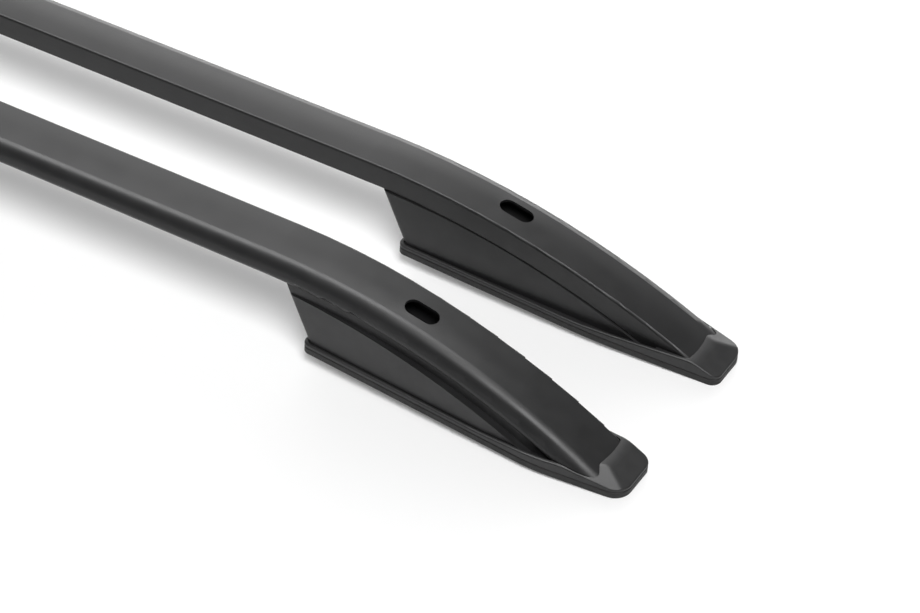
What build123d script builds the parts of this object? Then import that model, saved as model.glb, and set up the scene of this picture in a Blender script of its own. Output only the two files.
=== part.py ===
from build123d import *
import os
from math import asin, cos, degrees, radians, sin, tan

os.makedirs("parts", exist_ok=True)

# Roof side rail pair, standing on its feet as it would lie on a floor.
# +X runs along the rails, +Z is up, and the origin is the middle of the footprint.
# The left rail lies at -Y. Sizes are in millimetres, angles in degrees.

# The pair
pair_length = 1500.0  # nose to nose
rail_gap = 85.4  # between the inner top edges of the two rails
rail_top = 88.5  # floor to the inner top edge of the straight run
lean = 5.5  # each rail leans this much towards the other one

# Rail extrusion, seen in section from its inner top edge
rail_width = 44.0
rail_wall = 2.2
crown_angle = 13.3  # arc of the crown before the shoulder starts
shoulder_radius = 12.0
skirt_flat = 1.3
skirt_radius = 5.0
inner_edge_radius = 1.8
inner_foot_radius = 1.0

# Bend and cut of the rail's end, measured back from the nose
bend_radius = 560.0
bend_start = 301.0
rail_end = 17.0  # cut square here, under the nose cap

# Access slot and roof bolt, on one axis
bolt_back = 185.0  # from the nose
bolt_out = 22.0  # from the rail's inner wall
slot_length = 27.5
slot_width = 14.0
bolt_hole_radius = 3.5

# Foot outline on the joint between shoe and gasket
roof_pitch = 2.75  # the roof rises from the nose towards the middle of the car
foot_length = 272.0
foot_inner = -2.0  # inner edge of the straight part, out from the foot's own axis
foot_outer = 46.8  # outer edge at the back end
inner_knee_back = 100.0
cheek_back = 70.0
cheek_outer = 56.2
nose_inner = 6.0
nose_outer = 47.5
back_corner_radius = 6.0
knee_radius = 600.0
cheek_radius = 150.0
nose_inner_radius = 8.0
nose_outer_radius = 14.0

# Roof gasket and base shoe
gasket_height = 5.2
joint_chamfer = 0.8  # on both pieces, so that a groove parts them
shoe_floor = 2.0
lip_height = 3.8
lip_width = 2.6
bead_radius = 1.2

# Nose cap of the shoe: its top rises from the front edge to a ridge and runs out into the lip
cap_front = 2.4
cap_height = 10.4  # of the ridge, before it is rounded
cap_back = 118.0
ridge_back = 21.0
ridge_radius = 25.0
tail_radius = 200.0
flank_out = 46.0  # the outer flank meets the front edge here
flank_rise = 9.7  # slope of the flank along the foot
flank_fall = 19.3  # and outwards
flank_radius = 10.0
rail_clearance = 0.6  # from the rail to the cap

# Foot cover
cover_gap = 0.5  # to the lip
cover_top_gap = 0.8  # to the rail
cover_wall = 2.5
cover_rake = 25.0  # the back end leans away from the nose
cover_front = 52.0
cover_corner_radius = 4.0
cover_inner_back = 1.1  # inner face at the foot's back end, out from the foot's own axis
cover_inner_front = 6.0  # and at the cover's front end
neck_reach = 38.8  # from the rail's inner wall to the outer neck face
neck_height = 9.5

# Mounting bracket
bracket_length = 56.0
bracket_wall = 3.0
bracket_seat = 0.1
flange_length = 92.0
bracket_floor = 4.0
bracket_clearance = 1.0

# Blind rivets, bracket flange to rail floor
rivet_spacing = 76.0
rivet_radius = 2.4
rivet_head_radius = 4.75
rivet_head_height = 1.6
rivet_bulb_radius = 3.6
rivet_bulb_height = 3.5
rivet_clearance = 0.05

# Screws, shoe to cover
screw_from_front = 40.0  # front screw, back from the cover's front end
screw_from_back = 26.0  # back screw, from the foot's back end
screw_out = 25.0
screw_radius = 1.75
screw_length = 12.0
screw_head_radius = 3.5
screw_head_height = 1.4
screw_clearance = 0.3
screw_pilot_clearance = 0.05
boss_radius = 4.5

# Working stock that later cuts trim away, and how far a wall may be from square
stock = 120.0
margin = 25.0
square_tolerance = 0.001

# Derived section of the rail
crown_radius = (rail_width - shoulder_radius * (1 - sin(radians(crown_angle)))) / sin(radians(crown_angle))
crown_drop = crown_radius * (1 - cos(radians(crown_angle)))
shoulder_drop = shoulder_radius * cos(radians(crown_angle))
rail_height = crown_drop + shoulder_drop + skirt_flat + skirt_radius
nose_angle = degrees(asin(bend_start / bend_radius))

bracket_width = slot_width + 2 * (bracket_wall + bracket_clearance)
screw_backs = (cover_front + screw_from_front, foot_length - screw_from_back)

# Planes of the left rail: its section at mid-length and the leaning plane that it is bent in
rail_out = (0, -cos(radians(lean)), sin(radians(lean)))
inner_edge = (0, -rail_gap / 2, rail_top)
section_plane = Plane(origin=inner_edge, x_dir=rail_out, z_dir=(-1, 0, 0))
bend_plane = Plane(origin=inner_edge, x_dir=(1, 0, 0), z_dir=rail_out)

# Planes of the left front foot: x runs back from the nose, y outwards, z up from the joint
roof_rise = tan(radians(roof_pitch))
roof_plane = Plane(
    origin=(pair_length / 2, -rail_gap / 2, 0),
    x_dir=(-1, 0, roof_rise),
    z_dir=(roof_rise, 0, 1),
)
joint_plane = roof_plane.offset(gasket_height)
floor_plane = joint_plane.offset(shoe_floor)
lip_plane = joint_plane.offset(lip_height)
joint_up = Axis(joint_plane.origin, joint_plane.z_dir)
end_plane = Plane(origin=joint_plane.from_local_coords((rail_end, 0, 0)), z_dir=joint_plane.x_dir)


def edge_point(back):
    """Point of the rail's inner top edge over a place in the bend, back from the nose."""
    turn = asin((bend_start - back) / bend_radius)
    drop = bend_radius * (1 - cos(turn))
    return bend_plane.from_local_coords((pair_length / 2 - back, -drop))


def from_wall(back, out):
    """Place in the foot's plan, given back from the nose and out from the rail's inner top edge."""
    return (back, joint_plane.to_local_coords(edge_point(back)).Y + out)


def rail_path():
    """Inner top edge from mid-length through the straight run and the bend to the nose."""
    with BuildLine(bend_plane) as path:
        run = Line((0, 0), (pair_length / 2 - bend_start, 0))
        JernArc(run @ 1, (1, 0), bend_radius, -nose_angle)
    return path.line


def rail_section(grow):
    """Outer outline of the extrusion, grown by a clearance."""
    with BuildSketch(section_plane) as section:
        with BuildLine():
            crown = JernArc((0, 0), (1, 0), crown_radius, -crown_angle)
            shoulder = JernArc(crown @ 1, crown % 1, shoulder_radius, crown_angle - 90)
            Polyline(shoulder @ 1, (rail_width, -rail_height), (0, -rail_height), (0, 0))
        make_face()
        fillet(section.vertices().group_by(Axis.Y)[0].sort_by(Axis.X)[-1], skirt_radius)
        fillet(section.vertices().group_by(Axis.Y)[0].sort_by(Axis.X)[0], inner_foot_radius)
        fillet(section.vertices().group_by(Axis.Y)[-1], inner_edge_radius)
        if grow:
            offset(amount=grow)
    return section.sketch


def space_over(seat, steps=()):
    """Everything above the underside of the rail, with lower steps given as from, to and depth."""
    with BuildPart() as space:
        with BuildSketch(section_plane):
            for start, end, depth in ((-margin, rail_width + margin, seat), *steps):
                with Locations((start, stock)):
                    Rectangle(end - start, stock + rail_height + depth, align=(Align.MIN, Align.MAX))
        sweep(path=rail_path())
    return space.part


def foot_outline(plane, inset, back):
    """Plan of the foot, inset from its edge, with its back end at a given length."""
    outer_slope = (cheek_outer - foot_outer) / (foot_length - cheek_back)
    corners = [
        (back, foot_inner),
        (inner_knee_back, foot_inner),
        (0, nose_inner),
        (0, nose_outer),
        (cheek_back, cheek_outer),
        (back, foot_outer - outer_slope * (back - foot_length)),
    ]
    radii = [
        back_corner_radius,
        knee_radius,
        nose_inner_radius,
        nose_outer_radius,
        cheek_radius,
        back_corner_radius,
    ]
    with BuildSketch(plane) as outline:
        with BuildLine():
            FilletPolyline(*corners, radius=radii, close=True)
        make_face()
        if inset:
            offset(amount=-inset)
    return outline.sketch


def is_wall(face):
    """Faces that stand square on the joint."""
    return abs(face.normal_at().dot(joint_plane.z_dir)) < square_tolerance


def on_top(edge):
    """Edges that run round the top of the shoe, above the chamfer at its joint."""
    return all(joint_plane.to_local_coords(v.center()).Z > 2 * joint_chamfer for v in edge.vertices())


def on_cap(edge):
    """Edges over the nose cap."""
    middle = joint_plane.to_local_coords(edge.center())
    return 0 < middle.X < cap_back and middle.Z > cap_front


bolt_place = from_wall(bolt_back, bolt_out)

# Cutters shared by the pieces of a foot
with BuildPart() as rail_envelope:
    sweep(rail_section(rail_clearance), path=rail_path())
    split(bisect_by=lip_plane, keep=Keep.TOP)

neck_steps = [(neck_reach, rail_width + margin, neck_height)]
core_steps = [(neck_reach - cover_wall, rail_width + margin, neck_height + cover_wall)]
cover_space = space_over(cover_top_gap, neck_steps)
core_space = space_over(cover_top_gap + cover_wall, core_steps)
bracket_space = space_over(bracket_seat)
flange_space = space_over(bracket_seat + bracket_wall)

# Rivet planes on the underside of the rail, square to the bend
rivet_planes = []
for rivet_back in (bolt_back - rivet_spacing / 2, bolt_back + rivet_spacing / 2):
    reach = bend_radius - rail_height
    turn = asin((bend_start - rivet_back) / reach)
    seat_point = (
        pair_length / 2 - bend_start + reach * sin(turn),
        reach * cos(turn) - bend_radius,
        bolt_out,
    )
    square = bend_plane.x_dir * sin(turn) + bend_plane.y_dir * cos(turn)
    rivet_planes.append(Plane(origin=bend_plane.from_local_coords(seat_point), z_dir=square))

# Rail: bent extrusion with an access slot, trimmed to stand on the shoe
with BuildPart() as left_rail:
    with BuildSketch(section_plane) as tube:
        add(section_plane.to_local_coords(rail_section(0)))
        offset(amount=-rail_wall, kind=Kind.INTERSECTION, mode=Mode.SUBTRACT)
    sweep(path=rail_path())
    split(bisect_by=lip_plane, keep=Keep.TOP)
    split(bisect_by=end_plane, keep=Keep.TOP)
    with BuildSketch(joint_plane):
        with Locations(bolt_place):
            SlotOverall(slot_length, slot_width)
    extrude(amount=stock, mode=Mode.SUBTRACT)
    for rivet_plane in rivet_planes:
        with BuildSketch(rivet_plane):
            Circle(rivet_radius + rivet_clearance)
        extrude(amount=2 * rail_wall, both=True, mode=Mode.SUBTRACT)
    mirror(about=Plane.YZ)

# Roof gasket: pad between the roof and the shoe, with room for the screw heads
with BuildPart() as roof_gasket:
    add(foot_outline(roof_plane, 0, foot_length))
    extrude(amount=gasket_height, dir=roof_plane.z_dir)
    chamfer(roof_gasket.faces().sort_by(joint_up)[-1].edges(), joint_chamfer)
    with BuildSketch(roof_plane):
        with Locations(bolt_place):
            Circle(bolt_hole_radius)
    extrude(amount=gasket_height, mode=Mode.SUBTRACT)
    with BuildSketch(joint_plane):
        with Locations(*[(back, screw_out) for back in screw_backs]):
            Circle(screw_head_radius + screw_clearance)
    extrude(amount=-screw_head_height - screw_clearance, mode=Mode.SUBTRACT)

# Form under the top of the shoe: one side view right across, with a flank sloping off outwards
side_plane = Plane(
    origin=joint_plane.from_local_coords((0, -margin, 0)),
    x_dir=joint_plane.x_dir,
    z_dir=-joint_plane.y_dir,
)
flank_up = joint_plane.z_dir - joint_plane.x_dir * tan(radians(flank_rise))
flank_plane = Plane(
    origin=joint_plane.from_local_coords((0, flank_out, cap_front)),
    z_dir=flank_up + joint_plane.y_dir * tan(radians(flank_fall)),
)
front_slope = (cap_height - cap_front) / ridge_back
with BuildPart() as cap_form:
    with BuildSketch(side_plane):
        with BuildLine():
            top = FilletPolyline(
                (-margin, cap_front - margin * front_slope),
                (ridge_back, cap_height),
                (cap_back, lip_height),
                (foot_length + margin, lip_height),
                radius=[ridge_radius, tail_radius],
            )
            Polyline(top @ 1, (foot_length + margin, -stock), (-margin, -stock), top @ 0)
        make_face()
    extrude(amount=-cheek_outer - 2 * margin)
    split(bisect_by=flank_plane, keep=Keep.BOTTOM)
    fillet(cap_form.faces().filter_by(flank_plane).edges().filter_by(on_cap), flank_radius)

# Pocket of the tray, from the back end to the seat of the rail's end
front_plane = Plane(origin=joint_plane.from_local_coords((cover_front, 0, 0)), z_dir=joint_plane.x_dir)
with BuildPart() as tray_pocket:
    add(foot_outline(floor_plane, lip_width, foot_length))
    extrude(amount=stock, dir=joint_plane.z_dir)
    split(bisect_by=front_plane.offset(-cover_gap), keep=Keep.TOP)

# Base shoe: tray with a rounded lip that grows into the nose cap round the rail's end
with BuildPart() as base_shoe:
    add(foot_outline(joint_plane, 0, foot_length))
    extrude(amount=stock, dir=joint_plane.z_dir)
    chamfer(base_shoe.faces().sort_by(joint_up)[0].edges(), joint_chamfer)
    add(cap_form, mode=Mode.INTERSECT)
    fillet(base_shoe.faces().filter_by(is_wall).edges().filter_by(on_top), bead_radius)
    add(tray_pocket, mode=Mode.SUBTRACT)
    add(rail_envelope, mode=Mode.SUBTRACT)
    with BuildSketch(joint_plane):
        with Locations(bolt_place):
            Circle(bolt_hole_radius)
        with Locations(*[(back, screw_out) for back in screw_backs]):
            Circle(screw_radius + screw_clearance)
    extrude(amount=shoe_floor, mode=Mode.SUBTRACT)

# Foot cover: hollow wedge that fills the foot between the tray and the rail
rake_origin = (foot_length - lip_width - cover_gap, 0, lip_height)
rake_dir = joint_plane.x_dir * cos(radians(cover_rake)) - joint_plane.z_dir * sin(radians(cover_rake))
rake_plane = Plane(origin=joint_plane.from_local_coords(rake_origin), z_dir=rake_dir)
inner_back = joint_plane.from_local_coords((foot_length, cover_inner_back, 0))
inner_front = joint_plane.from_local_coords((cover_front, cover_inner_front, 0))
inner_plane = Plane(origin=inner_back, z_dir=Vector(0, 0, 1).cross(inner_front - inner_back) * -1)


def cover_block(inset, over):
    """Solid wedge inside the lip, inset from the cover's faces and cut to the space over it."""
    with BuildPart() as block:
        add(foot_outline(floor_plane, lip_width + cover_gap + inset, foot_length + stock))
        extrude(amount=stock, dir=(0, 0, 1))
        split(bisect_by=rake_plane.offset(-inset), keep=Keep.BOTTOM)
        split(bisect_by=front_plane.offset(inset), keep=Keep.TOP)
        split(bisect_by=inner_plane.offset(inset), keep=Keep.TOP)
        add(over, mode=Mode.SUBTRACT)
    return block.part


cover_solid = cover_block(0, cover_space)
cover_core = cover_block(cover_wall, core_space)
with BuildPart() as foot_cover:
    add(cover_solid)
    rake_edges = foot_cover.faces().filter_by(rake_plane).edges().sort_by(Axis.Y)
    fillet([rake_edges[0], rake_edges[-1]], cover_corner_radius)
    add(cover_core, mode=Mode.SUBTRACT)
    with BuildSketch(floor_plane):
        with Locations(*[(back, screw_out) for back in screw_backs]):
            Circle(boss_radius)
    extrude(amount=stock)
    add(cover_space, mode=Mode.SUBTRACT)
    with BuildSketch(floor_plane):
        with Locations(*[(back, screw_out) for back in screw_backs]):
            Circle(screw_radius + screw_pilot_clearance)
    extrude(amount=screw_length, mode=Mode.SUBTRACT)
    with BuildSketch(floor_plane):
        with Locations(bolt_place):
            Rectangle(flange_length + 2 * bracket_clearance, bracket_width + 2 * bracket_clearance)
    extrude(amount=stock, mode=Mode.SUBTRACT)

# Mounting bracket: pillar on the tray's floor with a flange under the rail
with BuildPart() as flange:
    with BuildSketch(floor_plane):
        with Locations(bolt_place):
            Rectangle(flange_length, bracket_width)
    extrude(amount=stock)
    add(flange_space, mode=Mode.INTERSECT)

with BuildPart() as mounting_bracket:
    with BuildSketch(floor_plane):
        with Locations(bolt_place):
            Rectangle(bracket_length, bracket_width)
    extrude(amount=stock)
    with BuildSketch(floor_plane.offset(bracket_floor)):
        with Locations(bolt_place):
            Rectangle(bracket_length - 2 * bracket_wall, bracket_width - 2 * bracket_wall)
    extrude(amount=stock, mode=Mode.SUBTRACT)
    add(flange)
    add(bracket_space, mode=Mode.SUBTRACT)
    with BuildSketch(floor_plane):
        with Locations(bolt_place):
            Circle(bolt_hole_radius)
    extrude(amount=bracket_floor, mode=Mode.SUBTRACT)
    with BuildSketch(floor_plane.offset(bracket_floor)):
        with Locations(bolt_place):
            SlotOverall(slot_length, slot_width)
    extrude(amount=stock, mode=Mode.SUBTRACT)
    for rivet_plane in rivet_planes:
        with BuildSketch(rivet_plane):
            Circle(rivet_radius + rivet_clearance)
        extrude(amount=2 * bracket_wall, both=True, mode=Mode.SUBTRACT)

# Blind rivets: head under the flange, bulb on the rail's floor
with BuildPart() as bracket_rivets:
    for rivet_plane in rivet_planes:
        head_plane = rivet_plane.offset(-bracket_seat - bracket_wall - rivet_clearance)
        bulb_plane = rivet_plane.offset(rail_wall + rivet_clearance)
        with BuildSketch(head_plane):
            Circle(rivet_head_radius)
        extrude(amount=-rivet_head_height)
        with BuildSketch(head_plane):
            Circle(rivet_radius)
        extrude(amount=bulb_plane.to_local_coords(head_plane.origin).Z * -1)
        with BuildSketch(bulb_plane):
            Circle(rivet_bulb_radius)
        extrude(amount=rivet_bulb_height)

# Screws: heads under the shoe, shanks in the bosses of the cover
with BuildPart() as cover_screws:
    with BuildSketch(joint_plane):
        with Locations(*[(back, screw_out) for back in screw_backs]):
            Circle(screw_head_radius)
    extrude(amount=-screw_head_height)
    with BuildSketch(joint_plane):
        with Locations(*[(back, screw_out) for back in screw_backs]):
            Circle(screw_radius)
    extrude(amount=screw_length)

# Every foot is the left front one, mirrored across the pair and from end to end
foot_pieces = {
    "foot_cover": foot_cover,
    "base_shoe": base_shoe,
    "roof_gasket": roof_gasket,
    "mounting_bracket": mounting_bracket,
    "bracket_rivets": bracket_rivets,
    "cover_screws": cover_screws,
}
for side in ("left", "right"):
    with BuildPart() as rail:
        if side == "left":
            add(left_rail)
        else:
            mirror(left_rail.part, about=Plane.XZ)
    rail.part.label = side + "_rail"
    export_step(rail.part, "parts/" + rail.part.label + ".step")
    for end in ("front", "rear"):
        for name, master in foot_pieces.items():
            shape = master.part
            if side == "right":
                shape = mirror(shape, about=Plane.XZ)
            if end == "rear":
                shape = mirror(shape, about=Plane.YZ)
            with BuildPart() as piece:
                add(shape)
            piece.part.label = side + "_" + end + "_" + name
            export_step(piece.part, "parts/" + piece.part.label + ".step")
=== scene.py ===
from math import cos, radians, sin

import bpy
from mathutils import Matrix, Vector

# Roof side rail pair: finishes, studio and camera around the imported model.
# Lengths are in metres, in the model's own frame. Angles are in degrees.

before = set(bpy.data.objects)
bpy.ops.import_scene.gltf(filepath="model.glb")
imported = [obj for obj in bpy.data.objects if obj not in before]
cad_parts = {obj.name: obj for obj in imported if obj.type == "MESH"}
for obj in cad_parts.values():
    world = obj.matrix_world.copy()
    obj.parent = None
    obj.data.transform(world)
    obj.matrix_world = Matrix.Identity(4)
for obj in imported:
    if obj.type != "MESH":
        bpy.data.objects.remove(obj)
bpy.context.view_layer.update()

# Camera, at the view of the photograph
photo_width = 920
sensor_width = 36.0
focal_pixels = 3355.7
view_azimuth = 31.43
view_pitch = 41.847
view_roll = 0.306
camera_place = Vector((1.5226, -1.57547, 1.6806))

# Floor, which is lifted to white where it is seen or mirrored
floor_reach = 6.0
floor_color = (0.82, 0.82, 0.82, 1)
floor_roughness = 0.9
floor_lift = 0.17
white = (1, 1, 1, 1)

# Room, dim all round with a glow low towards the back and left
room_bright_side = Vector((-0.45, 0.87, 0.05))
room_dim = 0.22
room_glow = 5.2
room_falloff = 7

# Key light, from the front and right and high up
key_side = Vector((0.8, -0.84, 1.95))
key_spread = 26
key_strength = 2.65

# Strip light, level above the rails; its power is in watts
strip_place = Vector((-0.75, 0.26, 2.2))
strip_length = 3.2
strip_width = 0.8
strip_power = 100

# Colours of the finishes
coat_black = (0.011, 0.011, 0.0114)
moulding_black = (0.014, 0.014, 0.0145)
rubber_black = (0.016, 0.016, 0.016)
cast_grey = (0.52, 0.53, 0.54)
rivet_grey = (0.62, 0.62, 0.63)
zinc_grey = (0.46, 0.46, 0.47)

# Reflection of the black finishes, where 0.5 is that of common plastic
coat_shine = 0.36
moulding_shine = 0.45
rubber_shine = 0.4

# Noise keeps mostly within this range, which is stretched to the values that it drives
noise_low = 0.3
noise_high = 0.7


def new_material(name):
    """Material with a Principled shader; returns it with its tree and shader."""
    material = bpy.data.materials.new(name)
    material.use_nodes = True
    tree = material.node_tree
    return material, tree, tree.nodes["Principled BSDF"]


def noise(tree, scale, detail=2.0, roughness=0.5, stretch=(1, 1, 1)):
    """Noise over the model's own coordinates, with its scale in features per metre."""
    coordinates = tree.nodes.new("ShaderNodeTexCoord")
    mapping = tree.nodes.new("ShaderNodeMapping")
    mapping.inputs["Scale"].default_value = stretch
    texture = tree.nodes.new("ShaderNodeTexNoise")
    texture.inputs["Scale"].default_value = scale
    texture.inputs["Detail"].default_value = detail
    texture.inputs["Roughness"].default_value = roughness
    tree.links.new(coordinates.outputs["Object"], mapping.inputs["Vector"])
    tree.links.new(mapping.outputs["Vector"], texture.inputs["Vector"])
    return texture.outputs["Fac"]


def spread(tree, source, low, high):
    """Value that a noise drives from low to high."""
    node = tree.nodes.new("ShaderNodeMapRange")
    node.inputs["From Min"].default_value = noise_low
    node.inputs["From Max"].default_value = noise_high
    node.inputs["To Min"].default_value = low
    node.inputs["To Max"].default_value = high
    tree.links.new(source, node.inputs["Value"])
    return node.outputs["Result"]


def shades(tree, source, color, swing):
    """Colour that a noise drives a little darker and lighter than the one given."""
    ramp = tree.nodes.new("ShaderNodeValToRGB")
    dark, light = ramp.color_ramp.elements
    dark.position = noise_low
    light.position = noise_high
    dark.color = (*[c * (1 - swing) for c in color], 1)
    light.color = (*[c * (1 + swing) for c in color], 1)
    tree.links.new(source, ramp.inputs["Fac"])
    return ramp.outputs["Color"]


def bump(tree, source, height, strength, below=None):
    """Bump of a height in metres, stacked on another one where given."""
    node = tree.nodes.new("ShaderNodeBump")
    node.inputs["Distance"].default_value = height
    node.inputs["Strength"].default_value = strength
    tree.links.new(source, node.inputs["Height"])
    if below:
        tree.links.new(below, node.inputs["Normal"])
    return node.outputs["Normal"]


def calculate(tree, operation, source, other):
    """One step of arithmetic on a socket, with a number or another socket."""
    node = tree.nodes.new("ShaderNodeMath")
    node.operation = operation
    tree.links.new(source, node.inputs[0])
    if isinstance(other, (int, float)):
        node.inputs[1].default_value = other
    else:
        tree.links.new(other, node.inputs[1])
    return node.outputs[0]


def powder_coat():
    """Satin black powder coat: faint orange peel under a fine grit."""
    material, tree, shader = new_material("rail_powder_coat")
    peel = bump(tree, noise(tree, scale=420, detail=1.0), height=0.00005, strength=0.35)
    grit = bump(tree, noise(tree, scale=2600, detail=2.0), height=0.00001, strength=0.5, below=peel)
    color = shades(tree, noise(tree, scale=35, detail=3.0), coat_black, swing=0.12)
    gloss = spread(tree, noise(tree, scale=60, detail=3.0), low=0.38, high=0.44)
    tree.links.new(grit, shader.inputs["Normal"])
    tree.links.new(color, shader.inputs["Base Color"])
    tree.links.new(gloss, shader.inputs["Roughness"])
    shader.inputs["Specular IOR Level"].default_value = coat_shine
    return material


def moulding(name, rough_low, rough_high):
    """Fine grained black plastic."""
    material, tree, shader = new_material(name)
    grain = bump(tree, noise(tree, scale=1500, detail=3.0, roughness=0.6), height=0.00003, strength=0.6)
    color = shades(tree, noise(tree, scale=50, detail=3.0), moulding_black, swing=0.15)
    gloss = spread(tree, noise(tree, scale=90, detail=3.0), rough_low, rough_high)
    tree.links.new(grain, shader.inputs["Normal"])
    tree.links.new(color, shader.inputs["Base Color"])
    tree.links.new(gloss, shader.inputs["Roughness"])
    shader.inputs["Specular IOR Level"].default_value = moulding_shine
    return material


def rubber():
    """Matte black rubber with a dusty unevenness."""
    material, tree, shader = new_material("gasket_rubber")
    grain = bump(tree, noise(tree, scale=900, detail=3.0, roughness=0.6), height=0.00004, strength=0.6)
    color = shades(tree, noise(tree, scale=70, detail=4.0), rubber_black, swing=0.25)
    gloss = spread(tree, noise(tree, scale=120, detail=3.0), low=0.55, high=0.68)
    tree.links.new(grain, shader.inputs["Normal"])
    tree.links.new(color, shader.inputs["Base Color"])
    tree.links.new(gloss, shader.inputs["Roughness"])
    shader.inputs["Specular IOR Level"].default_value = rubber_shine
    return material


def bare_metal(name, color, rough_low, rough_high, grain_scale, stretch=(1, 1, 1)):
    """Metal with a grain in its gloss and a slight bump."""
    material, tree, shader = new_material(name)
    grain = noise(tree, grain_scale, detail=4.0, roughness=0.6, stretch=stretch)
    tint = shades(tree, noise(tree, scale=80, detail=3.0), color, swing=0.1)
    gloss = spread(tree, grain, rough_low, rough_high)
    tree.links.new(bump(tree, grain, height=0.00005, strength=0.5), shader.inputs["Normal"])
    tree.links.new(tint, shader.inputs["Base Color"])
    tree.links.new(gloss, shader.inputs["Roughness"])
    shader.inputs["Metallic"].default_value = 1.0
    return material


def dress():
    """Gives each node the finish of its kind of piece."""
    finishes = {
        "rail": powder_coat(),
        "foot_cover": moulding("cover_plastic", rough_low=0.4, rough_high=0.48),
        "base_shoe": moulding("shoe_plastic", rough_low=0.38, rough_high=0.46),
        "roof_gasket": rubber(),
        "mounting_bracket": bare_metal("bracket_aluminium", cast_grey, 0.4, 0.6, grain_scale=700),
        "bracket_rivets": bare_metal("rivet_aluminium", rivet_grey, 0.3, 0.42, grain_scale=1400),
        "cover_screws": bare_metal("screw_steel", zinc_grey, 0.25, 0.4, grain_scale=1800, stretch=(1, 1, 6)),
    }
    for name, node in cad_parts.items():
        for ending, finish in finishes.items():
            if name.endswith(ending):
                node.data.materials.clear()
                node.data.materials.append(finish)


def floor():
    """Pale floor that keeps the shadows."""
    bpy.ops.mesh.primitive_plane_add(size=2 * floor_reach, location=(0, 0, 0))
    plane = bpy.context.object
    plane.name = "floor"
    material, tree, shader = new_material("floor")
    shader.inputs["Base Color"].default_value = floor_color
    shader.inputs["Roughness"].default_value = floor_roughness
    shader.inputs["Specular IOR Level"].default_value = 0.0
    shader.inputs["Emission Color"].default_value = white
    path = tree.nodes.new("ShaderNodeLightPath")
    seen = path.outputs["Is Camera Ray"]
    for ray in ("Is Glossy Ray", "Is Transmission Ray"):
        seen = calculate(tree, "MAXIMUM", seen, path.outputs[ray])
    tree.links.new(calculate(tree, "MULTIPLY", seen, floor_lift), shader.inputs["Emission Strength"])
    plane.data.materials.append(material)


def new_lamp(name, kind):
    """Lamp of a kind in the scene; returns it with its data."""
    data = bpy.data.lights.new(name, kind)
    lamp = bpy.data.objects.new(name, data)
    bpy.context.scene.collection.objects.link(lamp)
    return lamp, data


def key_light():
    """Broad even light, which keeps the whole floor pale and casts the soft shadows."""
    lamp, data = new_lamp("key", "SUN")
    data.angle = radians(key_spread)
    data.energy = key_strength
    lamp.rotation_euler = key_side.to_track_quat("Z", "Y").to_euler()


def strip_light():
    """Long box that faces down and shows as the highlight on the rails, in the gloss alone."""
    lamp, data = new_lamp("strip_box", "AREA")
    data.shape = "RECTANGLE"
    data.size = strip_length
    data.size_y = strip_width
    data.energy = strip_power
    lamp.location = strip_place
    lamp.rotation_euler = Vector((0, 0, -1)).to_track_quat("-Z", "Y").to_euler()
    lamp.visible_diffuse = False


def room():
    """Even light from all round that swells towards one side."""
    world = bpy.data.worlds.new("room")
    bpy.context.scene.world = world
    world.use_nodes = True
    tree = world.node_tree
    background = tree.nodes["Background"]
    background.inputs["Color"].default_value = white
    direction = tree.nodes.new("ShaderNodeTexCoord").outputs["Generated"]
    towards = tree.nodes.new("ShaderNodeVectorMath")
    towards.operation = "DOT_PRODUCT"
    towards.inputs[1].default_value = room_bright_side.normalized()
    tree.links.new(direction, towards.inputs[0])
    lit = calculate(tree, "MAXIMUM", towards.outputs["Value"], 0.0)
    swell = calculate(tree, "POWER", lit, room_falloff)
    glow = calculate(tree, "MULTIPLY", swell, room_glow)
    tree.links.new(calculate(tree, "ADD", glow, room_dim), background.inputs["Strength"])


def camera():
    """Camera of the photograph."""
    azimuth = radians(view_azimuth)
    pitch = radians(view_pitch)
    roll = radians(view_roll)
    forward = Vector((-sin(azimuth) * cos(pitch), cos(azimuth) * cos(pitch), -sin(pitch)))
    level = Vector((cos(azimuth), sin(azimuth), 0))
    upright = level.cross(forward)
    right = level * cos(roll) + upright * sin(roll)
    up = upright * cos(roll) - level * sin(roll)
    data = bpy.data.cameras.new("camera")
    data.sensor_fit = "HORIZONTAL"
    data.sensor_width = sensor_width
    data.lens = focal_pixels / photo_width * sensor_width
    data.clip_end = 4 * floor_reach
    eye = bpy.data.objects.new("camera", data)
    bpy.context.scene.collection.objects.link(eye)
    turn = Matrix((right, up, -forward)).transposed().to_4x4()
    eye.matrix_world = Matrix.Translation(camera_place) @ turn
    bpy.context.scene.camera = eye


dress()
floor()
key_light()
strip_light()
room()
camera()
bpy.context.scene.view_settings.view_transform = "Standard"
